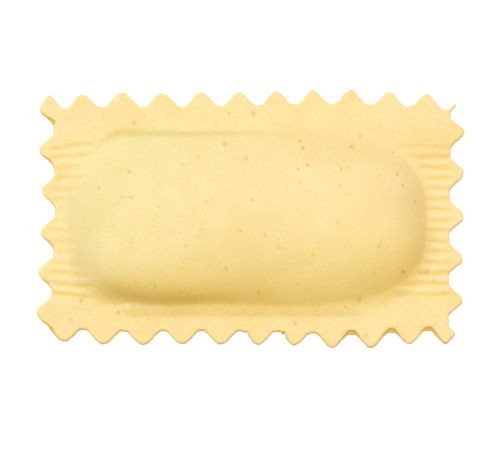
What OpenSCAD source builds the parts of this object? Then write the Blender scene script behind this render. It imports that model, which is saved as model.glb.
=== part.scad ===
// Rectangular raviolo, a filled pasta piece.
// Two dough sheets are pressed together round a filling, so the piece is one
// sealed solid: a pillow-shaped pocket in a flat rim, ribbed at the short
// sides and cut along all four sides with a fluted wheel.
// Millimetres, lying on z = 0, with the long sides along X and the front at -Y.

/* [Pocket] */
// Length of the pocket at its foot
pocket_l = 57.9; // [46:0.1:70]
// Width of the pocket at its foot
pocket_w = 28.4; // [22:0.1:36]
// Height of the crown above the rim
pocket_h = 8; // [4:0.1:12]
// How far the crown lies to the right of the middle
crown_shift = 2.4; // [-3:0.1:3]
// Squareness of the topmost ring seen from above, where 2 is an ellipse
crown_square = 2.8; // [2:0.1:6]
// Flatness of the crown seen from the side
crown_flat = 2.6; // [2:0.1:5]
// Steepness of the left and right end, where more keeps the crown longer
end_steep = [1.6, 4.5]; // [1.4:0.1:8]

/* [Corners of the pocket: front left, front right, back left, back right] */
// Squareness of the foot seen from above
foot_square = [4.5, 3, 3.5, 2.8]; // [2.2:0.1:8]
// Share of the height that rises steeply at the foot
shoulder = [0.55, 0.55, 0.1, 0.25]; // [0:0.05:0.8]
// Softness of the bend where the pocket rises from the rim
foot_soft = [1.05, 1.1, 1.4, 1.4]; // [1:0.05:2]

/* [Shelf] */
// Height of the low shelf along the front of the pocket
shelf_h = 0.7; // [0.1:0.05:1]
// How far the shelf slopes out in front of the pocket
shelf_out = 1.8; // [0.5:0.1:4]
// How far the shelf stays back from each end of the pocket
shelf_back = 5; // [2:0.1:10]

/* [Rim] */
// Rim from the pocket to the tooth tips at the short sides
end_rim = 5.95; // [4.5:0.05:9]
// Rim from the pocket to the tooth tips at the long sides
side_rim = 6.95; // [5:0.05:10]
// Thickness of one dough sheet
sheet_t = 0.8; // [0.6:0.05:1.5]
// How far the lower sheet stands out past the upper one at the cut
sheet_step = 0.2; // [0.05:0.05:0.5]
// Rounding of the upper edge of the cut
cut_r = 0.3; // [0.1:0.05:0.5]

/* [Fluted cut] */
// Depth of the teeth from tip to valley
tooth_depth = 2.3; // [1:0.05:3]
// Tooth pitch along the long sides
long_pitch = 6.23; // [5:0.01:9]
// Tooth pitch along the short sides
short_pitch = 6.8; // [5:0.01:9]
// Place of a wave crest along the long sides, from the middle
long_shift = -2.14; // [-5:0.01:5]
// Place of a wave crest along the short sides, from the middle
short_shift = 0.6; // [-5:0.01:5]
// Outward bow of the long sides at the middle
side_bow = 0.5; // [0:0.05:2]
// Lean of the short sides in degrees
end_lean = 0.8; // [-3:0.1:3]
// Rounding where two cuts cross
cross_r = 0.6; // [0.2:0.05:1.5]

/* [Ribs] */
// Number of ribs across each short side
rib_count = 15; // [5:2:19]
// Distance between the ribs
rib_pitch = 1.74; // [1.2:0.01:2.5]
// Width of one rib
rib_w = 1.5; // [0.8:0.05:2.4]
// Height of the ribs at the middle of their length
rib_h = 0.2; // [0.1:0.01:0.35]
// Turn of the outermost ribs in degrees, as they fan out towards the pocket
rib_fan = 8; // [0:0.5:15]

/* [Hidden] */
dough = [0.96, 0.86, 0.63];
rim_t = 2 * sheet_t;
piece_l = pocket_l + 2 * end_rim;
piece_w = pocket_w + 2 * side_rim;
// Mean lines of the cuts, half a tooth inside the tips
end_x = (piece_l - tooth_depth) / 2;
side_y = (piece_w - tooth_depth) / 2;
// Middles of the corner fans, this far inside every tooth valley
fan_margin = 1.2;
fan_reach = tooth_depth + fan_margin;
fan_x = end_x - fan_reach;
fan_y = side_y - fan_reach;
fan_steps = 12;
steps_per_tooth = 9;
search_steps = 18;
pocket_points = 80;
pocket_rings = 17;
// The rings lie closer together towards the foot
ring_crowding = 1.6;
last_ring = 0.97;
// Flatness of the steep shoulder at the foot
shoulder_flat = 14;
// The values of the corners blend over this part of the pocket
blend_x = 0.38 * pocket_l;
blend_y = 0.32 * pocket_w;
// Half the depth of the shelf's ovals, and their squareness
shelf_half = pocket_w / 4;
shelf_square = 6;
// The shelf's ends slope this many times more gently than its front
shelf_end_slope = 3;
// How deep the pocket, the shelf and the ribs are seated in the rim
seat = 0.15;
// The ribs run this far under the pocket and past the middle of the teeth
rib_overlap = 0.6;
// They end this far inside the upper sheet's rounded edge
rib_margin = 0.15;
// Share of a rib's length that has its full height
rib_ridge = 0.4;
rib_facets = 14;

// Solid between rings of equally many points, listed from the bottom up,
// each anticlockwise seen from above
module loft(rings) {
    n = len(rings[0]);
    last = len(rings) - 1;
    walls = [
        for (k = [0 : last - 1], i = [0 : n - 1])
            let (j = (i + 1) % n, low = k * n, high = low + n)
                each [[low + i, high + i, high + j], [low + i, high + j, low + j]]
    ];
    bottom = [for (i = [0 : n - 1]) i];
    top = [for (i = [n - 1 : -1 : 0]) last * n + i];
    polyhedron([for (ring = rings) each ring], concat(walls, [bottom, top]));
}

// Fluted cut: one wave crosses the piece at both long sides, another at both
// short sides, and a point is inside where it lies within all four cuts
function long_wave(x) = tooth_depth / 2 * cos(360 * (x - long_shift) / long_pitch);
function short_wave(y) = tooth_depth / 2 * cos(360 * (y - short_shift) / short_pitch);
function side_at(x) = side_y - side_bow * pow(x / end_x, 2);
function past_sides(p) = abs(p.y - long_wave(p.x)) - side_at(p.x);
function past_ends(p) = abs(p.x - short_wave(p.y) - p.y * tan(end_lean)) - end_x;
function soft_max(a, b) = (a + b + norm([a - b, cross_r])) / 2;
function past_cut(p) = soft_max(past_sides(p), past_ends(p));

// Distance from a point inside to the cut, searched by halving
function reach(from, way, inset, low, high, left) =
    let (mid = (low + high) / 2)
        left == 0 ? mid
        : past_cut(from + mid * way) < -inset ? reach(from, way, inset, mid, high, left - 1)
        : reach(from, way, inset, low, mid, left - 1);

// Starting point and direction of each search: along the sides at right
// angles to them, and in a fan at each corner
function steps_along(span, pitch) = round(span / pitch * steps_per_tooth);
function side_spokes(from, to, turn, pitch) =
    let (n = steps_along(norm(to - from), pitch))
        [for (i = [0 : n - 1]) [from + (to - from) * i / n, [cos(turn), sin(turn)]]];
function fan_spokes(middle, turn) =
    [for (i = [0 : fan_steps - 1]) let (a = turn + 90 * i / fan_steps) [middle, [cos(a), sin(a)]]];
spokes = concat(
    side_spokes([fan_x, -fan_y], [fan_x, fan_y], 0, short_pitch),
    fan_spokes([fan_x, fan_y], 0),
    side_spokes([fan_x, fan_y], [-fan_x, fan_y], 90, long_pitch),
    fan_spokes([-fan_x, fan_y], 90),
    side_spokes([-fan_x, fan_y], [-fan_x, -fan_y], 180, short_pitch),
    fan_spokes([-fan_x, -fan_y], 180),
    side_spokes([-fan_x, -fan_y], [fan_x, -fan_y], 270, long_pitch),
    fan_spokes([fan_x, -fan_y], 270)
);
function cut_ring(inset, z) = [
    for (s = spokes)
        let (p = s[0] + reach(s[0], s[1], inset, 0, 2 * fan_reach, search_steps) * s[1])
            [p.x, p.y, z]
];

// Block with the outline of the cut, drawn in by an inset
module cut_block(inset, height) {
    linear_extrude(height)
        polygon([for (p = cut_ring(inset, 0)) [p.x, p.y]]);
}

// Both sheets at the rim: the lower one stands out a little past the upper
// one, whose top edge is rounded
module rim() {
    half_round = cut_r * (1 - cos(45));
    section = [
        [cut_r / 2, 0],
        [0, cut_r / 2],
        [0, sheet_t - sheet_step / 2],
        [sheet_step, sheet_t],
        [sheet_step, rim_t - cut_r],
        [sheet_step + half_round, rim_t - half_round],
        [sheet_step + cut_r, rim_t],
    ];
    loft([for (s = section) cut_ring(s[0], s[1])]);
}

// Rounded oval of half size 1, between an ellipse and a square
function on_oval(a, square) =
    [cos(a), sin(a)] * pow(pow(abs(cos(a)), square) + pow(abs(sin(a)), square), -1 / square);
function point_angle(i) = 360 * i / pocket_points;

// Value at a point of the pocket, blended between those of its four corners
function blend(x, reach) = let (t = min(max((x / reach + 1) / 2, 0), 1)) t * t * (3 - 2 * t);
function mix(a, b, share) = a + (b - a) * share;
function by_corner(values, p) =
    let (right = blend(p.x, blend_x), back = blend(p.y, blend_y))
        mix(mix(values[0], values[1], right), mix(values[2], values[3], right), back);

// Pillow over the filling, whose rings draw in by the same amount all round
// at the foot and close along a ridge at the crown. The share s of the way in
// is 0 at the foot, and the height is a gentle dome with a steep shoulder.
function rise(s, p) =
    let (
        t = 1 - s / last_ring,
        steep = by_corner(shoulder, p),
        dome = (1 - steep) * (1 - pow(t, crown_flat)),
        foot = steep * (1 - pow(t, shoulder_flat))
    )
        pow(dome + foot, by_corner(foot_soft, p));
function pocket_point(s, a) =
    let (
        ridge = (pocket_l - pocket_w) / 2,
        steep = cos(a) < 0 ? end_steep[0] : end_steep[1],
        half_w = pocket_w / 2 * (1 - s),
        half_l = half_w + ridge * (1 - pow(s, steep)),
        foot = by_corner(foot_square, [half_l * cos(a), half_w * sin(a)]),
        q = on_oval(a, mix(foot, crown_square, s)),
        p = [half_l * q.x + crown_shift * s * (2 - s), half_w * q.y]
    )
        [p.x, p.y, mix(rim_t - seat, rim_t + pocket_h, rise(s, p))];
function pocket_ring(s) = [for (i = [0 : pocket_points - 1]) pocket_point(s, point_angle(i))];
module pocket() {
    shares = [for (i = [0 : pocket_rings]) last_ring * pow(i / pocket_rings, ring_crowding)];
    loft([for (s = shares) pocket_ring(s)]);
}

// Low shelf that slopes down from the front of the pocket
function shelf_ring(half_l, front, z) = [
    for (i = [0 : pocket_points - 1])
        let (q = on_oval(point_angle(i), shelf_square))
            [half_l * q.x, front + shelf_half * (1 + q.y), z]
];
module shelf() {
    half_l = pocket_l / 2 - shelf_back;
    foot = -pocket_w / 2;
    loft([
        shelf_ring(half_l, foot - shelf_out, rim_t - seat),
        shelf_ring(half_l - shelf_end_slope * shelf_out, foot, rim_t + shelf_h),
    ]);
}

// Rib of a given length, highest along its middle and sunk at both ends
module rib_bar(length, width, height) {
    translate([0, 0, rim_t - seat])
        scale([length, width / 2, height])
            rotate([0, 90, 0])
                cylinder(h = 1, r = 1, center = true, $fn = rib_facets);
}
module rib(length) {
    hull() {
        rib_bar(length * rib_ridge, rib_w, seat + rib_h);
        rib_bar(length, rib_w / 2, seat / 2);
    }
}

// Ribs from the foot of the pocket to the cut, at both short sides
function foot_at(side, y) =
    let (
        square = by_corner(foot_square, [side * pocket_l / 2, y]),
        share = min(abs(2 * y / pocket_w), 1)
    )
        pocket_l / 2 * pow(1 - pow(share, square), 1 / square);
module ribs() {
    middle = (rib_count - 1) / 2;
    intersection() {
        cut_block(sheet_step + cut_r + rib_margin, rim_t + 2 * rib_h);
        for (side = [-1, 1], i = [-middle : middle]) {
            y = i * rib_pitch;
            inner = foot_at(side, y) - rib_overlap;
            outer = end_x + rib_overlap;
            translate([side * (inner + outer) / 2, y, 0])
                rotate([0, 0, -side * rib_fan * i / middle])
                    rib(outer - inner);
        }
    }
}

module raviolo() {
    color(dough) {
        rim();
        shelf();
        pocket();
        ribs();
    }
}

raviolo();
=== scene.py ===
"""Looks of a rectangular raviolo, a filled pasta piece of fresh egg dough.

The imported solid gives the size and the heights. One dense skin replaces it: the fluted cut
with its two sheets, the pillow over the filling, the ribs at both ends and the creases.
Shapes are worked out in millimetres and written to the mesh in metres.
"""

import math

import bmesh
import bpy
import numpy as np
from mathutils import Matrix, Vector


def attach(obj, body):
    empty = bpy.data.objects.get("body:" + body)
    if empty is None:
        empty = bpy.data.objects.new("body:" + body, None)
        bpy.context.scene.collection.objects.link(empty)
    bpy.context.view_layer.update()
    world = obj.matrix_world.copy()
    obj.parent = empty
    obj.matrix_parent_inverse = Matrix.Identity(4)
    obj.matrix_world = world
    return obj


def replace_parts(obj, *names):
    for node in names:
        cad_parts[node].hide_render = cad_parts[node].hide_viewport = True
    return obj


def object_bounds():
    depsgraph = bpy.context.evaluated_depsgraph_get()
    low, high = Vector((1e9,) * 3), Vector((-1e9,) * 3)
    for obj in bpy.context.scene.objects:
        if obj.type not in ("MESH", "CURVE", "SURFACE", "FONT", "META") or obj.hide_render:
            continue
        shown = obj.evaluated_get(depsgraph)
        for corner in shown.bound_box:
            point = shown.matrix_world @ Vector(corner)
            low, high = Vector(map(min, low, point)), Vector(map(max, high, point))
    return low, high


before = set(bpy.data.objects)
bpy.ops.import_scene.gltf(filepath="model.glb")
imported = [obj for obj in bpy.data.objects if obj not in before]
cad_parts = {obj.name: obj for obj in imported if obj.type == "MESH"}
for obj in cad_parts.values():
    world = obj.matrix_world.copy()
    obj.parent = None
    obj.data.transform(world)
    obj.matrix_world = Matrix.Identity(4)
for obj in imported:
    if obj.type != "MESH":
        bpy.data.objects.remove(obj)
cad_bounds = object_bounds()

# Frame and heights, in millimetres
MM = 0.001
TOP = cad_bounds[1].z / MM
RIM = 1.6
SHEET = RIM / 2
TINY = 1e-9  # keeps a division from failing

# Photograph's frame, in its own pixels, and the camera's height over the horizon in degrees
PHOTO_SIZE = (500, 449)
PIXELS_PER_MM = 6.114
OBJECT_MIDDLE = (250.5, 218.5)
CAMERA_ELEVATION = 83


def to_mm(pixels):
    """Places in the plane of the rim, in millimetres, from places in the photograph."""
    p = np.asarray(pixels, float)
    out = np.empty_like(p)
    out[..., 0] = (p[..., 0] - OBJECT_MIDDLE[0]) / PIXELS_PER_MM
    out[..., 1] = (OBJECT_MIDDLE[1] - p[..., 1]) / PIXELS_PER_MM / math.sin(math.radians(CAMERA_ELEVATION))
    return out


def smooth_step(x, low, high):
    """Rises from zero at low to one at high, or falls where high is the smaller one."""
    t = np.clip((x - low) / (high - low), 0, 1)
    return t * t * (3 - 2 * t)


def soft_max(a, b, k):
    """The larger of two values, with the corner between them rounded over about k."""
    return (a + b + np.sqrt((a - b) ** 2 + k * k)) / 2


# Tips of the teeth in the photograph's pixels: across and down for the long sides, and down and
# across for the short ones. The first and last of each row lie past the corner and only carry
# the wave on to where the cuts cross.
BACK_TIPS = [(12, 99), (47.6, 94.5), (81.6, 94.1), (122, 91.9), (162, 92.7), (201.4, 92), (239.4, 91.6),
             (276.4, 90.8), (313.1, 90), (351, 89.6), (389.7, 91.7), (427.3, 93.9), (464.5, 97.5)]
FRONT_TIPS = [(26, 340), (64.2, 341.2), (103.2, 344.1), (143.6, 344.6), (182.4, 343.7), (221, 344.2),
              (258.5, 344.4), (294.2, 344.6), (331.7, 347.1), (371.1, 347.4), (409.2, 343.1), (445.4, 343.6),
              (482, 342)]
LEFT_TIPS = [(50, 41), (109.2, 39.5), (150.4, 38.9), (191, 41.8), (232.5, 40.7), (272.3, 38.4),
             (312.5, 36.7), (352, 35.1)]
RIGHT_TIPS = [(96.6, 465.4), (131.8, 465.1), (172.9, 464.3), (216.6, 464), (258.6, 462.6), (300, 462.1),
              (341.3, 462)]
# Depth of the teeth in millimetres, how much their tips are narrower than the valleys, and
# the share of the depth by which the valleys are flattened
BACK_SHAPE, FRONT_SHAPE = (2.35, 1.08, 0.0), (2.38, 0.94, 0.07)
LEFT_SHAPE, RIGHT_SHAPE = (2.36, 1.24, 0.03), (2.46, 1.33, 0.06)
VALLEY_SOFT = 0.06  # softness of that flattening's edge, as a share of the depth
CORNER_SOFT = 0.12  # rounding where two cuts cross, in millimetres
# Small unevenness of the cut line: waves for each millimetre and sizes in millimetres
WOBBLES = [(0.31, 0.05), (0.73, 0.035), (1.37, 0.02)]


class Side:
    """One fluted side: how far it lies from the middle at each place along it."""

    def __init__(self, tips_mm, depth, sharp, valley):
        order = np.argsort(tips_mm[:, 0])
        self.along, self.out = tips_mm[order, 0], tips_mm[order, 1]
        self.depth, self.sharp, self.valley = depth, sharp, valley
        self.turn = self.out[0]  # so that each side wobbles in its own way

    def at(self, s):
        phase = np.interp(s, self.along, np.arange(len(self.along)))
        line = np.interp(s, self.along, self.out)
        tooth = (0.5 + 0.5 * np.cos(2 * math.pi * phase)) ** self.sharp
        tooth = soft_max(tooth, self.valley, VALLEY_SOFT)
        wobble = sum(size * np.sin(2 * math.pi * rate * s + self.turn) for rate, size in WOBBLES)
        return line - self.depth * (1 - tooth) + wobble


def long_side(tips, outward, shape):
    """The back side, with outward 1, or the front side, with -1."""
    mm = to_mm(tips)
    return Side(np.column_stack([mm[:, 0], outward * mm[:, 1]]), *shape)


def short_side(tips, outward, shape):
    """The right side, with outward 1, or the left side, with -1."""
    mm = to_mm([(x, y) for y, x in tips])
    return Side(np.column_stack([mm[:, 1], outward * mm[:, 0]]), *shape)


BACK = long_side(BACK_TIPS, 1, BACK_SHAPE)
FRONT = long_side(FRONT_TIPS, -1, FRONT_SHAPE)
LEFT = short_side(LEFT_TIPS, -1, LEFT_SHAPE)
RIGHT = short_side(RIGHT_TIPS, 1, RIGHT_SHAPE)

# Round bites out of the cut, in pixels: middle and radius. The first two shape the thin horn
# at one corner, and the rest are nicks in the front teeth.
BITES = [(461.8, 112.6, 8.1), (466.4, 101, 10.4), (87.2, 333.2, 1.5), (127.2, 333.0, 1.8),
         (166.5, 332.6, 1.5), (246.5, 333.8, 2.2), (249.3, 338.8, 1.5), (284.2, 333.2, 1.6),
         (429.8, 332.2, 1.7), (432.4, 333.8, 0.7)]
# Straight cuts across two corners, in pixels: two points of the line, with the waste on its right
CLIPS = [((38, 318), (62, 343)), ((445, 345), (457.5, 331.5))]
CLIP_REACH = 14  # a cut reaches this far from its middle, in pixels


def past_cut(p):
    """Positive outside the cut, negative inside, in millimetres at right angles to the sides."""
    x, y = p[..., 0], p[..., 1]
    sides = np.maximum(y - BACK.at(x), -y - FRONT.at(x))
    ends = np.maximum(x - RIGHT.at(y), -x - LEFT.at(y))
    return soft_max(sides, ends, CORNER_SOFT)


def past_clip(p, start, end):
    """Positive beyond a straight cut, near it."""
    a, b = to_mm(start), to_mm(end)
    way = (b - a) / np.linalg.norm(b - a)
    beyond = (p[..., 0] - a[0]) * way[1] - (p[..., 1] - a[1]) * way[0]
    middle = (a + b) / 2
    near = CLIP_REACH / PIXELS_PER_MM - np.hypot(p[..., 0] - middle[0], p[..., 1] - middle[1])
    return np.minimum(beyond, near)


def past_edge(p, inset):
    """The cut with its bites and clipped corners, drawn in by an inset."""
    out = past_cut(p) + inset
    for x, y, radius in BITES:
        middle = to_mm((x, y))
        gap = radius / PIXELS_PER_MM - np.hypot(p[..., 0] - middle[0], p[..., 1] - middle[1])
        out = np.maximum(out, gap + inset)
    for start, end in CLIPS:
        out = np.maximum(out, past_clip(p, start, end) + inset)
    return out


# Spokes: from an inner rounded rectangle outwards, at right angles to the sides and in a fan
# at each corner
SPOKE_BASE = (29.6, 15.2)
BASE_RADIUS = 0.8
LONG_STEPS, SHORT_STEPS, FAN_STEPS = 256, 160, 40
SEARCH_REACH = 7.0  # the cut lies within this distance of the base
SEARCH_STEPS = 22  # halvings of each search


def make_spokes():
    """Starting points on the base rectangle and outward directions, anticlockwise."""
    bx, by = SPOKE_BASE
    starts, ways = [], []
    corners = [(bx, -by), (bx, by), (-bx, by), (-bx, -by)]
    steps = [SHORT_STEPS, LONG_STEPS, SHORT_STEPS, LONG_STEPS]
    for k in range(4):
        a, b = np.array(corners[k]), np.array(corners[(k + 1) % 4])
        turn = k * math.pi / 2
        for t in np.arange(steps[k]) / steps[k]:
            starts.append(a + (b - a) * t)
            ways.append((math.cos(turn), math.sin(turn)))
        for t in np.arange(FAN_STEPS) / FAN_STEPS:
            starts.append(b)
            ways.append((math.cos(turn + t * math.pi / 2), math.sin(turn + t * math.pi / 2)))
    return np.array(starts), np.array(ways)


STARTS, WAYS = make_spokes()
SPOKES = len(STARTS)


def cut_line(inset):
    """Outline of the cut drawn in by an inset, one point on each spoke."""
    low = np.zeros(SPOKES)
    high = np.full(SPOKES, SEARCH_REACH)
    for _ in range(SEARCH_STEPS):
        middle = (low + high) / 2
        inside = past_edge(STARTS + middle[:, None] * WAYS, inset) < 0
        low = np.where(inside, middle, low)
        high = np.where(inside, high, middle)
    return STARTS + low[:, None] * WAYS


# Pillow over the filling. Its rings draw in by the same amount all round at the foot and close
# along a ridge at the crown. Its height is a gentle dome with a steep shoulder at the foot. The
# filling lies unevenly, so some values are given at the four corners: front left, front right,
# back left, back right.
POCKET = (29.0, 14.7)  # half of its length and of its width at the foot
POCKET_MIDDLE = -0.2
POCKET_RISE = TOP - RIM
CROWN_SHIFT = 3.2  # the crown lies this far to the right of the foot's middle
CROWN_SQUARE = 4.0
CROWN_FLAT, SHOULDER_FLAT = 2.45, 12  # powers that shape the dome and the shoulder
LAST_RING = 0.97  # the crown is flat from here on
END_STEEP = (2.8, 4.8)  # how late the rings draw in at the left and the right end
FOOT_SQUARE = (4.4, 3.0, 2.9, 2.75)  # power of the foot's rounded outline
SHOULDER = (0.83, 0.2, 0.33, 0.28)  # share of the height that the shoulder takes
FOOT_SOFT = (2.0, 1.0, 2.0, 2.0)  # power that flattens the first rise
FOOT_BEND = (0.03, 0.11, 0.15, 0.15)  # rounding between rim and pillow, as a share of the way in
END_BEND = (0.05, 0.02)  # added at the left and right end
TAIL = 0.15  # the foot fades out this share outside the pocket
CORNER_BLEND = (22, 9.1)  # corner values blend over this distance from the middle, both ways
END_BLEND = (15, 28)  # from and to these distances from the middle
BULGE = 0.036  # the front foot lies this share further out at the left
BULGE_SIDE, BULGE_FRONT = (-4, -18), (-4, -12)


def by_corner(values, x, y):
    """Blends four corner values over the piece."""
    u = smooth_step(x, -CORNER_BLEND[0], CORNER_BLEND[0])
    v = smooth_step(y, -CORNER_BLEND[1], CORNER_BLEND[1])
    front = values[0] * (1 - u) + values[1] * u
    back = values[2] * (1 - u) + values[3] * u
    return front * (1 - v) + back * v


def pocket_share(x, y):
    """Share of the way in from the foot: one at the crown, and below zero outside the foot."""
    a = POCKET[0]
    b = POCKET[1] * (1 + BULGE * smooth_step(x, *BULGE_SIDE) * smooth_step(y, *BULGE_FRONT))
    foot_square = by_corner(FOOT_SQUARE, x, y)
    low, high = np.full(np.shape(x), -TAIL), np.ones(np.shape(x))
    for _ in range(SEARCH_STEPS):
        s = (low + high) / 2
        inner = np.maximum(s, 0)
        beside = x - POCKET_MIDDLE - CROWN_SHIFT * inner * (2 - inner)
        half_w = b * (1 - s) + TINY
        half_l = half_w + (a - b) * (1 - inner ** np.where(beside < 0, *END_STEEP))
        square = foot_square + (CROWN_SQUARE - foot_square) * inner
        inside = (np.abs(beside) / half_l) ** square + (np.abs(y) / half_w) ** square < 1
        low = np.where(inside, s, low)
        high = np.where(inside, high, s)
    return low


def pillow(x, y):
    """Height of the pillow over the rim."""
    bend = by_corner(FOOT_BEND, x, y) + np.where(x < 0, *END_BEND) * smooth_step(np.abs(x), *END_BLEND)
    share = soft_max(pocket_share(x, y), 0, bend) - soft_max(-TAIL, 0, bend)
    t = np.clip(1 - share / LAST_RING, 0, 1)
    steep = by_corner(SHOULDER, x, y)
    rise = (1 - steep) * (1 - t ** CROWN_FLAT) + steep * (1 - t ** SHOULDER_FLAT)
    return POCKET_RISE * np.clip(rise, 0, 1) ** by_corner(FOOT_SOFT, x, y)


# Tuck along the front foot of the pocket, where the sheet is pressed in: its place and width as
# shares of the way in from the foot, how deep it is, and where it begins and ends
TUCK_PLACE, TUCK_WIDTH = 0.085, 0.045
TUCK_DEPTH = 0.2
TUCK_LEFT, TUCK_RIGHT = (-26, -20), (-12, 4)
TUCK_BACK = (-10, -7)


def tuck(x, y):
    """How much of the tuck is at a place, from zero to one."""
    along = smooth_step(x, *TUCK_LEFT) * (1 - smooth_step(x, *TUCK_RIGHT))
    along = along * (1 - smooth_step(y, *TUCK_BACK))
    return along * np.exp(-((pocket_share(x, y) - TUCK_PLACE) / TUCK_WIDTH) ** 2)


# Apron: the low slope in front of the pocket, down to a small step on the rim
APRON_FOOT, APRON_END = -14.0, -16.15
APRON_SIDE, APRON_FADE = (23.9, 21.5), (5.4, 8.0)  # where it has died away, and over what distance
APRON_BACK = (-6, 0)  # it dies away over this under the pillow
APRON_RISE = 1.15
APRON_STEEP = 0.75  # below one, the slope is steepest at its end
APRON_SOFT = 0.09  # softness of its end, as a share of the slope
APRON_BEND = 0.12  # rounding between it and the pillow, in millimetres


def apron(x, y):
    """Height of the apron over the rim."""
    side, fade = np.where(x < 0, *APRON_SIDE), np.where(x < 0, *APRON_FADE)
    ends = 1 - smooth_step(np.abs(x), side - fade, side)
    front = 1 - smooth_step(y, *APRON_BACK)
    up = soft_max((y - APRON_END) / (APRON_FOOT - APRON_END), 0, APRON_SOFT)
    up = up - soft_max(-1, 0, APRON_SOFT)
    return APRON_RISE * ends * front * np.clip(up, 0, 1) ** APRON_STEEP


# Ribs at both short ends: grooves pressed into the rim, which fan out towards the pocket.
# Left and right: distance between grooves at the cut, and its growth for each millimetre inwards.
RIB_COUNT = 15
RIB_MIDDLE_Y = -0.45
RIB_PITCH = (1.69, 1.735)
RIB_FAN = (0.0115, 0.0015)
RIB_CUT = 33  # place of the cut, from the middle
RIB_INNER = (25.9, 23.5)  # the outermost ribs end this far from the middle, left and right
RIB_FOOT = (28.8, 14.2)  # foot of the pocket, as the ribs follow it
RIB_FOOT_SQUARE = 3.6
RIB_START = (-1.4, 1.6)  # they set in over this distance at the foot
RIB_END = (31.6, 34)  # and fade over this one towards the cut
GROOVE_DEPTH, GROOVE_WIDTH = 0.14, 0.3
GROOVE_BEND, GROOVE_TURN = 0.06, 0.9  # size of the bends in grooves, and turn for each millimetre
GROOVE_SLANT = 2  # turn of the bends for each millimetre across the grooves
GROOVE_SPREAD = 0.4  # the weakest groove lacks this share of its depth
GROOVE_ORDER = 5  # turn from one groove's strength to the next one's
RIB_SWELL = 0.11  # height of the ridges between
RIB_WEAKEST = (0.3, 0.8)  # share of the depth along the middle of the left and the right end
RIB_HALF_BAND = 12
RIB_GROWTH = 1.5  # power by which they get stronger away from that middle
BAND_FRONT, BAND_BACK = (-0.5, 0.2), (-0.5, -1.2)  # ridges fade at the first and the last groove


def rib_place(x, y):
    """Number of the groove at a place, counted from the front, with fractions between."""
    left = x < 0
    pitch, fan = np.where(left, *RIB_PITCH), np.where(left, *RIB_FAN)
    here = pitch * (1 + fan * (RIB_CUT - np.abs(x)))
    return (y - RIB_MIDDLE_Y) / here + (RIB_COUNT - 1) / 2


def rib_strength(x, y):
    """Share of the full depth: fades at the pocket and the cut, and along the middle of each end."""
    out = np.abs(x)
    share = np.clip(np.abs(y) / RIB_FOOT[1], 0, 1)
    foot = RIB_FOOT[0] * (1 - share ** RIB_FOOT_SQUARE) ** (1 / RIB_FOOT_SQUARE)
    foot = np.maximum(foot, np.where(x < 0, *RIB_INNER))
    along = smooth_step(out - foot, *RIB_START) * (1 - smooth_step(out, *RIB_END))
    weakest = np.where(x < 0, *RIB_WEAKEST)
    across = np.clip(np.abs(y - RIB_MIDDLE_Y) / RIB_HALF_BAND, 0, 1) ** RIB_GROWTH
    return along * (weakest + (1 - weakest) * across)


def groove(x, y):
    """How much of a groove is at a place. Each is bent a little and its strength is its own."""
    place = rib_place(x, y) + GROOVE_BEND * np.sin(x * GROOVE_TURN + GROOVE_SLANT * y)
    number = np.clip(np.round(place), 0, RIB_COUNT - 1)
    own = 1 - GROOVE_SPREAD * (0.5 + 0.5 * np.sin(GROOVE_ORDER * number + np.sign(x)))
    return own * np.exp(-((place - number) * RIB_PITCH[1] / GROOVE_WIDTH) ** 2)


def ridge(x, y):
    """How much of a ridge between two grooves is at a place, from zero to one."""
    place = rib_place(x, y)
    band = smooth_step(place, *BAND_FRONT) * smooth_step(place - RIB_COUNT, *BAND_BACK)
    return band * (0.5 - 0.5 * np.cos(2 * math.pi * place))


def ribs(x, y):
    """Height of the ribbed bands over the plain rim."""
    return rib_strength(x, y) * (RIB_SWELL * ridge(x, y) - GROOVE_DEPTH * groove(x, y))


# Crease along the back foot of the pocket, which curves down at its left end
CREASE_Y = 13.95
CREASE_LEFT, CREASE_RIGHT = (-26.5, -21.5), (14, -13)  # it sets in and dies away over these
CREASE_CURVE_X = -20.5
CREASE_DROP = 0.1  # drop for each square millimetre left of there
CREASE_CURVE_LENGTH = 8
CREASE_DEPTH, CREASE_WIDTH = 0.28, 0.6


def crease(x, y):
    """How much of the crease is at a place, from zero to one."""
    line = CREASE_Y - CREASE_DROP * np.clip(CREASE_CURVE_X - x, 0, CREASE_CURVE_LENGTH) ** 2
    fade = smooth_step(x, *CREASE_LEFT) * smooth_step(x, *CREASE_RIGHT)
    return fade * np.exp(-((y - line) / CREASE_WIDTH) ** 2)


# Slow unevenness of hand-rolled dough: waves for each millimetre along both ways, turn and size
WAVES = [(0.11, 0.05, 0.4, 0.03), (-0.06, 0.13, 2.1, 0.03), (0.19, -0.11, 4.0, 0.015),
         (0.27, 0.31, 1.2, 0.008)]
CALM_EDGE = 4  # the unevenness dies away this far from the cut


def unevenness(x, y):
    """How far the sheet lies over its mean height."""
    return sum(size * np.sin(2 * math.pi * (fx * x + fy * y) + turn) for fx, fy, turn, size in WAVES)


def top_height(p):
    """Height of the upper surface, without the rounded edge of the cut."""
    x, y = p[..., 0], p[..., 1]
    rise = soft_max(pillow(x, y), apron(x, y), APRON_BEND) - APRON_BEND / 2
    uneven = unevenness(x, y) * smooth_step(-past_cut(p), 0, CALM_EDGE)
    pressed = CREASE_DEPTH * crease(x, y) + TUCK_DEPTH * tuck(x, y)
    return RIM + rise + ribs(x, y) - pressed + uneven


EDGE_ROUND = 0.3  # radius of the upper edge
SLOPE_STEP = 0.01  # distance over which slopes are taken
FLATTEST = 0.7  # least slope by which the distance from the cut is corrected


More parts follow.
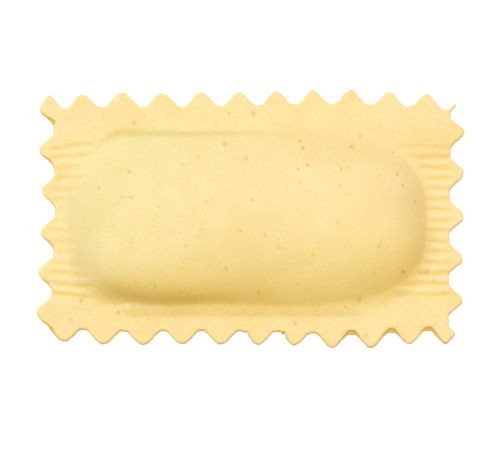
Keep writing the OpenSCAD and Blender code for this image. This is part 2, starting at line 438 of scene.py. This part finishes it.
def edge_drop(p, flare):
    """How far the rounded upper edge of the cut lies below the rim."""
    here = past_edge(p, flare)
    gx = (past_edge(p + np.array([SLOPE_STEP, 0]), flare) - here) / SLOPE_STEP
    gy = (past_edge(p + np.array([0, SLOPE_STEP]), flare) - here) / SLOPE_STEP
    inward = np.clip(-here / np.maximum(np.hypot(gx, gy), FLATTEST), 0, EDGE_ROUND)
    return EDGE_ROUND - np.sqrt(EDGE_ROUND ** 2 - (EDGE_ROUND - inward) ** 2)


# Rings of the skin, from the crown outwards over the rim, down the cut and under
EDGE_INSETS = [0.03, 0.08, 0.16, 0.27, 0.4, 0.6, 0.85]  # distances from the cut's upper edge
RIM_RINGS, INNER_RINGS = 14, 62  # from there to the spokes' base, and from the base to the middle


def base_ring(share):
    """Nested rounded rectangle: share 0 is the spokes' base and 1 the line along the middle."""
    bx, by = SPOKE_BASE
    shrink = np.column_stack([np.full(SPOKES, (bx - share * by) / bx), np.full(SPOKES, 1 - share)])
    return STARTS * shrink + BASE_RADIUS * (1 - share) * WAYS


def top_rings(flare):
    """Rings from the upper edge of the cut inwards to the crown."""
    rings = [cut_line(flare)] + [cut_line(flare + inset) for inset in EDGE_INSETS]
    base = base_ring(0.0)
    last = rings[-1]
    for t in np.arange(1, RIM_RINGS + 1) / RIM_RINGS:
        rings.append(last + (base - last) * t)
    for t in np.arange(1, INNER_RINGS + 1) / INNER_RINGS:
        rings.append(base_ring(t))
    return rings


# Where the lower sheet shows past the upper one: middle and spread in pixels, and how far it
# shows in millimetres
PROUD = [((48, 118), 8, 1.1), ((48, 160), 6, 0.38), ((50, 242), 7, 0.45), ((47, 284), 6, 0.3),
         ((50, 331), 9, 0.75), ((350, 334), 12, 0.6), ((378, 338), 10, 0.3), ((392, 333), 9, 0.55),
         ((428, 332), 9, 0.4), ((438, 336), 9, 0.5)]
FLARE, FLARE_FRONT = 0.03, 0.04  # how far it shows everywhere, and further at the front


def facing_front(ring):
    """How much each point of a closed ring faces the front."""
    along = np.roll(ring, -1, axis=0) - np.roll(ring, 1, axis=0)
    length = np.maximum(np.linalg.norm(along, axis=1), TINY)
    return np.clip(along[:, 0] / length, 0, 1)


def wall_flare(ring):
    """How far the foot of the cut stands out past its upper edge."""
    front = facing_front(ring)
    out = FLARE + FLARE_FRONT * front
    for middle, spread, size in PROUD:
        gap = np.linalg.norm(ring - to_mm(middle), axis=1) * PIXELS_PER_MM
        out += size * front * np.exp(-(gap / spread) ** 2)
    return out


# Section of the cut from its upper edge down: share of the flare and height in millimetres.
# The upper sheet ends in a small lip over the lower one.
LIP = SHEET + 0.05
WALL = [(0.0, 1.15), (0.08, LIP + 0.1), (-0.1, LIP), (0.35, LIP - 0.1), (0.85, LIP - 0.28), (1.0, 0.24),
        (0.9, 0.07), (0.5, 0.0)]
# Rings of the underside: shares of the way in to the base, and from the base to the middle
UNDER_RINGS = ((0.35, 1.0), (0.3, 0.65, 1.0))
LEAST_EDGE = 0.02  # the upper edge stays this far above the next ring
EDGE_SHADE_SHARE = 0.5  # share of the cut's painted shade at the upper edge


def build_skin():
    """Points of all rings, crown to underside, and how much each belongs to the cut."""
    flare = wall_flare(cut_line(0.0))
    rings, heights, cut = [], [], []
    for ring in reversed(top_rings(flare)):
        rings.append(ring)
        heights.append(top_height(ring) - edge_drop(ring, flare))
        cut.append(np.zeros(SPOKES))
    edge_height = heights[-1]
    cut[-1] += EDGE_SHADE_SHARE
    for share, height in WALL:
        rings.append(cut_line(flare * (1 - share)))
        heights.append(np.minimum(height, edge_height - LEAST_EDGE))
        cut.append(np.ones(SPOKES))
    under, base = rings[-1], base_ring(0.0)
    rings += [under + (base - under) * t for t in UNDER_RINGS[0]]
    rings += [base_ring(t) for t in UNDER_RINGS[1]]
    missing = len(rings) - len(heights)
    heights += [np.zeros(SPOKES)] * missing
    cut += [np.zeros(SPOKES)] * missing
    return np.column_stack([np.vstack(rings), np.concatenate(heights)]), np.concatenate(cut)


# Colours of the dough, as linear values, and tints that multiply them
DOUGH = np.array([0.965, 0.765, 0.345])
SLOPE_SHADE_TINT = np.array([0.97, 0.93, 0.52])  # painted shade: deeper yellow on the pocket's slopes that face away from the key light
# Painted shade in the rib grooves
GROOVE_SHADE_TINT = np.array([0.985, 0.88, 0.55])
# Painted highlight on the ridges between the grooves
RIDGE_HIGHLIGHT_TINT = np.array([1.0, 1.02, 1.1])
# Painted shade in the crease along the back foot
CREASE_SHADE_TINT = np.array([0.86, 0.885, 0.76])
# Painted shade in the tuck along the front foot
TUCK_SHADE_TINT = np.array([0.87, 0.84, 0.7])
# Painted shade on the wall of the cut
CUT_SHADE_TINT = np.array([0.95, 0.86, 0.38])
# Painted light and shade from the middle of the pocket: warmer towards its right end, which is turned from
# the key light, and paler towards its back, which faces it
SHADE_TINT_RIGHT = np.array([0.05, -0.012, 0.0])
LIGHT_TINT_BACK = np.array([0.0, 0.025, 0.06])
# Slow changes of colour, of the pocket and of the whole sheet: where each sets in along both
# ways, in millimetres, and its tint
# The pocket's tints are painted light on its front right slope and painted shade at the front of its right
# end
POCKET_LIGHT_AND_SHADE = [((0, 12), (4, -8), (0.02, 0.045, 0.05)), ((21, 26), (4, -8), (-0.01, -0.03, -0.04))]
SHEET_TINTS = [((-8, 20), (5, 12), (-0.012, -0.04, -0.12)), ((-8, 20), (14, 17), (0.01, 0.03, 0.1)),
               ((30, 33), (0, -12), (0, -0.02, -0.07)),
               ((19, 14), (-13.6, -14.8), (-0.012, -0.022, -0.07))]
SHADED_WAY = (0.45, -0.85)  # way that the slopes with the most painted shade face
FULL_SHADE_SLOPE = 0.8  # slope at which the painted shade is full
LESS_SLOPE_SHADE = 0.2  # share by which the painted shade is less at the front right
LESS_SHADE_SIDE, LESS_SHADE_FRONT = (0, 12), (0, -11)  # where that sets in
POCKET_REACH, POCKET_POWER = (30, 15), 4  # the pocket's own tints lie in a rounded outline
POCKET_FADE = (1.3, 0.6)  # and fade across it, where one is the outline itself


def mixed(colour, tint, share):
    """Multiplies colours by a share of a tint."""
    return colour * (1 + (tint - 1) * np.clip(share, 0, 1)[:, None])


def slow_tint(tints, x, y):
    """Sum of some slow changes of colour at each place."""
    shares = [smooth_step(x, *along) * smooth_step(y, *across) for along, across, _ in tints]
    return sum(share[:, None] * np.array(tint) for share, (_, _, tint) in zip(shares, tints))


def dough_colour_and_painted_light(p, cut):
    """Colour of the dough at each point of the skin, with its painted shade and painted highlights."""
    x, y = p[:, 0], p[:, 1]
    flat, step = p[:, :2], 2 * SLOPE_STEP
    zx = (top_height(flat + (step, 0)) - top_height(flat - (step, 0))) / (2 * step)
    zy = (top_height(flat + (0, step)) - top_height(flat - (0, step))) / (2 * step)
    # Slope facing away from the key light, which sets the painted shade
    steep = -(zx * SHADED_WAY[0] + zy * SHADED_WAY[1]) / np.sqrt(1 + zx ** 2 + zy ** 2)
    upper = p[:, 2] > SHEET
    right, back = x / POCKET_REACH[0], y / POCKET_REACH[1]
    pocket = smooth_step(right ** POCKET_POWER + back ** POCKET_POWER, *POCKET_FADE)
    tint = 1 + (pocket * right)[:, None] * SHADE_TINT_RIGHT + (pocket * back)[:, None] * LIGHT_TINT_BACK
    tint += pocket[:, None] * slow_tint(POCKET_LIGHT_AND_SHADE, x, y) + slow_tint(SHEET_TINTS, x, y)
    colour = np.minimum(DOUGH * tint, 1)
    less_shade = LESS_SLOPE_SHADE * smooth_step(x, *LESS_SHADE_SIDE) * smooth_step(y, *LESS_SHADE_FRONT)
    slope_shade = steep / FULL_SHADE_SLOPE * (1 - less_shade)
    colour = mixed(colour, SLOPE_SHADE_TINT, np.where(upper, slope_shade, 0))
    colour = mixed(colour, GROOVE_SHADE_TINT, np.where(upper, rib_strength(x, y) * groove(x, y), 0))
    colour = mixed(colour, RIDGE_HIGHLIGHT_TINT, np.where(upper, rib_strength(x, y) * ridge(x, y), 0))
    colour = mixed(colour, CREASE_SHADE_TINT, np.where(upper, crease(x, y), 0))
    colour = mixed(colour, TUCK_SHADE_TINT, np.where(upper, tuck(x, y), 0))
    return mixed(with_specks(colour, p), CUT_SHADE_TINT, cut)


# Specks of bran and spice, and pale spots, of which the one in front of the pocket is a painted highlight:
# place in the photograph in pixels, length in millimetres and colour
BROWN, ORANGE, YELLOW = (0.62, 0.34, 0.01), (0.87, 0.4, 0.02), (0.88, 0.52, 0.02)
GREY, PALE_FLECK_AND_GLINT = (0.6, 0.45, 0.12), (1.0, 0.96, 0.85)
SPECKS = [(302.7, 151.1, 0.4, BROWN), (246.3, 163.1, 0.35, BROWN), (258.8, 295.7, 0.35, BROWN),
          (226.4, 273.9, 0.35, BROWN), (360.3, 136.1, 0.35, BROWN), (358.8, 300.6, 0.4, BROWN),
          (402.3, 273.9, 0.35, BROWN), (133.8, 123.1, 0.35, BROWN), (130, 175.4, 0.35, BROWN),
          (396.9, 177.4, 0.3, BROWN), (402, 189.3, 0.3, BROWN), (300.1, 143.2, 0.3, BROWN),
          (297.6, 174.6, 0.3, BROWN), (155.8, 290.8, 0.3, BROWN), (118.5, 312.8, 0.3, BROWN),
          (81.7, 301.1, 0.4, BROWN), (350.9, 149.3, 0.3, BROWN), (414.4, 204.8, 0.22, BROWN),
          (340.6, 174, 0.3, BROWN), (99.7, 190.3, 0.3, BROWN), (225.1, 146.7, 0.45, ORANGE),
          (198.9, 161.2, 0.35, ORANGE), (253.2, 113.6, 0.5, ORANGE), (338.8, 192.3, 0.35, ORANGE),
          (378.3, 252.1, 0.35, ORANGE), (365, 335.5, 0.5, YELLOW), (148.7, 320, 0.4, YELLOW),
          (186.1, 251.4, 0.35, YELLOW), (240.7, 237.1, 0.35, YELLOW), (373.4, 277.3, 0.35, YELLOW),
          (294.7, 323.6, 0.4, GREY), (50.5, 326.5, 0.4, PALE_FLECK_AND_GLINT), (128, 307, 0.4, PALE_FLECK_AND_GLINT)]
MARKED_SHARE, MARKED_GROWTH = 0.7, 1.25  # how strongly listed specks colour the dough, and their growth
SCATTERED = 70  # number of other specks, placed by chance
SCATTER_SEED = 7
SCATTER_BOX = (32, 18)
SCATTER_INSET = 1.0  # scattered specks lie at least this far inside the cut
SCATTER_SIZES, SCATTER_SHARES = (0.22, 0.45), (0.25, 0.6)
SCATTER_STEEPEST = 0.4  # and where the pillow rises less than this over a millimetre
NARROWEST = 0.55  # width of the narrowest specks against their length
SPECK_SPREAD = 0.6  # a spot's softness against its length


def speck_places(chance):
    """Listed specks and scattered ones: place, length, colour and strength."""
    places = []
    for x, y, size, colour in SPECKS:
        places.append((to_mm((x, y)), size * MARKED_GROWTH, colour, MARKED_SHARE))
    while len(places) < len(SPECKS) + SCATTERED:
        place = chance.uniform((-SCATTER_BOX[0], -SCATTER_BOX[1]), SCATTER_BOX)
        colour = (BROWN, ORANGE, YELLOW)[chance.integers(3)]
        size, share = chance.uniform(*SCATTER_SIZES), chance.uniform(*SCATTER_SHARES)
        drop = abs(float(pillow(place[0] + 1, place[1]) - pillow(place[0], place[1])))
        if past_edge(place, SCATTER_INSET) < 0 and drop < SCATTER_STEEPEST:
            places.append((place, size, colour, share))
    return places


def with_specks(colour, p):
    """The colours of the skin with a soft spot at each speck."""
    chance = np.random.default_rng(SCATTER_SEED)
    upper = p[:, 2] > SHEET
    for place, size, kind, share in speck_places(chance):
        turn, narrow = chance.uniform(0, math.pi), chance.uniform(NARROWEST, 1)
        away = (p[:, :2] - place) / (size * SPECK_SPREAD)
        along = away[:, 0] * math.cos(turn) + away[:, 1] * math.sin(turn)
        across = (away[:, 1] * math.cos(turn) - away[:, 0] * math.sin(turn)) / narrow
        spot = share * upper * np.exp(-along ** 2 - across ** 2)
        colour = colour + (np.array(kind) - colour) * spot[:, None]
    return colour


def ring_faces(count):
    """Quads between each ring and the next."""
    i = np.arange(SPOKES)
    j = (i + 1) % SPOKES
    quad = np.column_stack([i, SPOKES + i, SPOKES + j, j])
    return np.vstack([quad + start for start in range(0, count, SPOKES)]).tolist()


WELD = 0.0005  # points closer than this are one, in millimetres


def weld(mesh):
    """Closes the skin along the middle line, above and below."""
    shape = bmesh.new()
    shape.from_mesh(mesh)
    bmesh.ops.remove_doubles(shape, verts=shape.verts, dist=WELD * MM)
    bmesh.ops.dissolve_degenerate(shape, edges=shape.edges, dist=WELD * MM)
    bmesh.ops.recalc_face_normals(shape, faces=shape.faces)
    print("faces", len(shape.faces), "open edges", sum(not edge.is_manifold for edge in shape.edges))
    shape.to_mesh(mesh)
    shape.free()


def paint(mesh, colours):
    """Gives each point its colour."""
    layer = mesh.color_attributes.new("dough_colour_and_painted_light", "FLOAT_COLOR", "POINT")
    layer.data.foreach_set("color", np.column_stack([colours, np.ones(len(colours))]).ravel())


def add_piece(name, mesh, material):
    piece = bpy.data.objects.new(name, mesh)
    bpy.context.scene.collection.objects.link(piece)
    piece.data.materials.append(material)
    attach(piece, "root")
    return piece


def make_raviolo():
    points, cut = build_skin()
    mesh = bpy.data.meshes.new("raviolo_skin")
    mesh.from_pydata((points * MM).tolist(), [], ring_faces(len(points) - SPOKES))
    paint(mesh, dough_colour_and_painted_light(points, cut))
    weld(mesh)
    mesh.polygons.foreach_set("use_smooth", [True] * len(mesh.polygons))
    mesh.update()
    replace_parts(add_piece("raviolo_skin", mesh, make_dough()), "raviolo")


# Dough material: the colour of each point, mottled between a tint and its opposite, with a fine
# floury grain. Sizes in millimetres.
GLOW_WEIGHT, GLOW_REACH = 0.35, 0.8  # light that goes under the surface, and how far
GLOW_COLOUR = (1.0, 0.55, 0.2)  # red goes furthest
SHINE = 0.3
ROUGHNESS = (0.5, 0.68)
ROUGHNESS_SIZE = 1.6
MOTTLES = ((4.5, (0.99, 0.98, 0.93)), (0.45, (0.985, 0.975, 0.93)))  # size and tint
GRAIN_SIZE, GRAIN_HEIGHT = 0.22, 0.006
PEEL_SIZE, PEEL_HEIGHT = 1.1, 0.012
NOISE_DETAIL, GRAIN_DETAIL = 2.0, 3.0  # how many finer noises are added to each


def noise(tree, coordinates, size_mm, detail=NOISE_DETAIL):
    """Noise whose features are about the given size."""
    node = tree.nodes.new("ShaderNodeTexNoise")
    node.inputs["Scale"].default_value = 1 / (size_mm * MM)
    node.inputs["Detail"].default_value = detail
    tree.links.new(coordinates, node.inputs["Vector"])
    return node.outputs["Fac"]


NOISE_MIDDLE = (0.3, 0.7)  # most of a noise lies between these


def remap(tree, value, low, high):
    """Spreads the middle of a noise over a range."""
    node = tree.nodes.new("ShaderNodeMapRange")
    node.inputs["From Min"].default_value = NOISE_MIDDLE[0]
    node.inputs["From Max"].default_value = NOISE_MIDDLE[1]
    node.inputs["To Min"].default_value = low
    node.inputs["To Max"].default_value = high
    tree.links.new(value, node.inputs["Value"])
    return node.outputs["Result"]


MIX_COLOURS, MIX_RESULT = (6, 7), 2  # places of a mix node's colour sockets


def mottle(tree, colour, value, tint):
    """Multiplies a colour by a tint where the value is high, and by its opposite where it is low."""
    spread = tree.nodes.new("ShaderNodeMix")
    spread.data_type = "RGBA"
    tree.links.new(value, spread.inputs["Factor"])
    spread.inputs[MIX_COLOURS[0]].default_value = (*(2 - part for part in tint), 1)
    spread.inputs[MIX_COLOURS[1]].default_value = (*tint, 1)
    product = tree.nodes.new("ShaderNodeVectorMath")
    product.operation = "MULTIPLY"
    tree.links.new(colour, product.inputs[0])
    tree.links.new(spread.outputs[MIX_RESULT], product.inputs[1])
    return product.outputs["Vector"]


def bump(tree, value, height_mm, normal=None):
    """Raises the surface by up to a height where the value is high."""
    node = tree.nodes.new("ShaderNodeBump")
    node.inputs["Distance"].default_value = height_mm * MM
    tree.links.new(value, node.inputs["Height"])
    if normal:
        tree.links.new(normal, node.inputs["Normal"])
    return node.outputs["Normal"]


def make_dough():
    """The material of the dough."""
    material = bpy.data.materials.new("dough")
    material.use_nodes = True
    tree = material.node_tree
    shader = tree.nodes["Principled BSDF"]
    shader.inputs["Subsurface Weight"].default_value = GLOW_WEIGHT
    shader.inputs["Subsurface Radius"].default_value = GLOW_COLOUR
    shader.inputs["Subsurface Scale"].default_value = GLOW_REACH * MM
    shader.inputs["Specular IOR Level"].default_value = SHINE
    coordinates = tree.nodes.new("ShaderNodeTexCoord").outputs["Object"]
    colour = tree.nodes.new("ShaderNodeAttribute")
    colour.attribute_name = "dough_colour_and_painted_light"
    mottled = colour.outputs["Color"]
    for size, tint in MOTTLES:
        mottled = mottle(tree, mottled, remap(tree, noise(tree, coordinates, size), 0, 1), tint)
    tree.links.new(mottled, shader.inputs["Base Color"])
    roughness = remap(tree, noise(tree, coordinates, ROUGHNESS_SIZE), *ROUGHNESS)
    tree.links.new(roughness, shader.inputs["Roughness"])
    peel = bump(tree, noise(tree, coordinates, PEEL_SIZE), PEEL_HEIGHT)
    grain = bump(tree, noise(tree, coordinates, GRAIN_SIZE, GRAIN_DETAIL), GRAIN_HEIGHT, peel)
    tree.links.new(grain, shader.inputs["Normal"])
    return material


make_raviolo()

# Light: a wide soft key from the upper left behind, and a plain surround that looks white
KEY_FROM_ABOVE, KEY_TURN = 17, 62  # degrees off the vertical, and round from the left to the back
KEY_STRENGTH, KEY_SPREAD = 1.72, 50
KEY_COLOUR = (0.785, 1.0, 1.26)
AMBIENT = 0.48
AMBIENT_COLOUR = (1.28, 1.0, 0.83)
FLOOR_GREY, FLOOR_GLOW = 0.8, 0.55  # the glow is for the camera only
FLOOR_HALF, FLOOR_Z = 3.0, -0.00005  # in metres


def by_ray(tree, seen, unseen, out):
    """Sends one shader to the camera, gloss and clear rays, and another to all other rays."""
    paths = tree.nodes.new("ShaderNodeLightPath")
    either = paths.outputs["Is Camera Ray"]
    for name in ("Is Glossy Ray", "Is Transmission Ray"):
        node = tree.nodes.new("ShaderNodeMath")
        node.operation = "MAXIMUM"
        tree.links.new(either, node.inputs[0])
        tree.links.new(paths.outputs[name], node.inputs[1])
        either = node.outputs[0]
    mix = tree.nodes.new("ShaderNodeMixShader")
    tree.links.new(either, mix.inputs[0])
    tree.links.new(unseen, mix.inputs[1])
    tree.links.new(seen, mix.inputs[2])
    tree.links.new(mix.outputs[0], out)


def make_floor():
    half, z = FLOOR_HALF, FLOOR_Z
    mesh = bpy.data.meshes.new("floor")
    corners = [(-half, -half, z), (half, -half, z), (half, half, z), (-half, half, z)]
    mesh.from_pydata(corners, [], [(0, 1, 2, 3)])
    floor = bpy.data.objects.new("floor", mesh)
    bpy.context.scene.collection.objects.link(floor)
    material = bpy.data.materials.new("floor")
    material.use_nodes = True
    tree = material.node_tree
    tree.nodes.clear()
    matte = tree.nodes.new("ShaderNodeBsdfDiffuse")
    matte.inputs["Color"].default_value = (FLOOR_GREY, FLOOR_GREY, FLOOR_GREY, 1)
    glow = tree.nodes.new("ShaderNodeEmission")
    glow.inputs["Strength"].default_value = FLOOR_GLOW
    both = tree.nodes.new("ShaderNodeAddShader")
    tree.links.new(matte.outputs[0], both.inputs[0])
    tree.links.new(glow.outputs[0], both.inputs[1])
    out = tree.nodes.new("ShaderNodeOutputMaterial")
    by_ray(tree, both.outputs[0], matte.outputs[0], out.inputs["Surface"])
    mesh.materials.append(material)


def make_world():
    world = bpy.data.worlds.new("world")
    bpy.context.scene.world = world
    world.use_nodes = True
    tree = world.node_tree
    tree.nodes.clear()
    white = tree.nodes.new("ShaderNodeBackground")
    soft = tree.nodes.new("ShaderNodeBackground")
    soft.inputs["Color"].default_value = (*AMBIENT_COLOUR, 1)
    soft.inputs["Strength"].default_value = AMBIENT
    out = tree.nodes.new("ShaderNodeOutputWorld")
    by_ray(tree, white.outputs[0], soft.outputs[0], out.inputs["Surface"])


def make_key():
    light = bpy.data.lights.new("key", "SUN")
    light.energy, light.color, light.angle = KEY_STRENGTH, KEY_COLOUR, math.radians(KEY_SPREAD)
    lamp = bpy.data.objects.new("key", light)
    bpy.context.scene.collection.objects.link(lamp)
    down, turn = math.radians(KEY_FROM_ABOVE), math.radians(KEY_TURN)
    towards = Vector((-math.sin(down) * math.cos(turn), math.sin(down) * math.sin(turn), math.cos(down)))
    lamp.rotation_mode = "QUATERNION"
    lamp.rotation_quaternion = towards.to_track_quat("Z", "Y")


# Camera: a long lens, nearly straight above and a little from the front
CAMERA_DISTANCE = 0.9  # in metres
CAMERA_RANGE = (0.01, 20)
SENSOR = 36  # in millimetres


def make_camera():
    data = bpy.data.cameras.new("camera")
    camera = bpy.data.objects.new("camera", data)
    bpy.context.scene.collection.objects.link(camera)
    bpy.context.scene.camera = camera
    data.sensor_width = SENSOR
    data.lens = SENSOR * CAMERA_DISTANCE / (PHOTO_SIZE[0] / PIXELS_PER_MM * MM)
    x, y = to_mm((PHOTO_SIZE[0] / 2, PHOTO_SIZE[1] / 2))
    turn = math.radians(CAMERA_ELEVATION)
    aim = Vector((x, y, SHEET)) * MM
    back = Vector((0, -math.cos(turn), math.sin(turn)))
    camera.location = aim + back * CAMERA_DISTANCE
    camera.rotation_mode = "QUATERNION"
    camera.rotation_quaternion = back.to_track_quat("Z", "Y")
    data.clip_start, data.clip_end = CAMERA_RANGE


make_floor()
make_world()
make_key()
make_camera()
bpy.context.scene.view_settings.view_transform = "Standard"
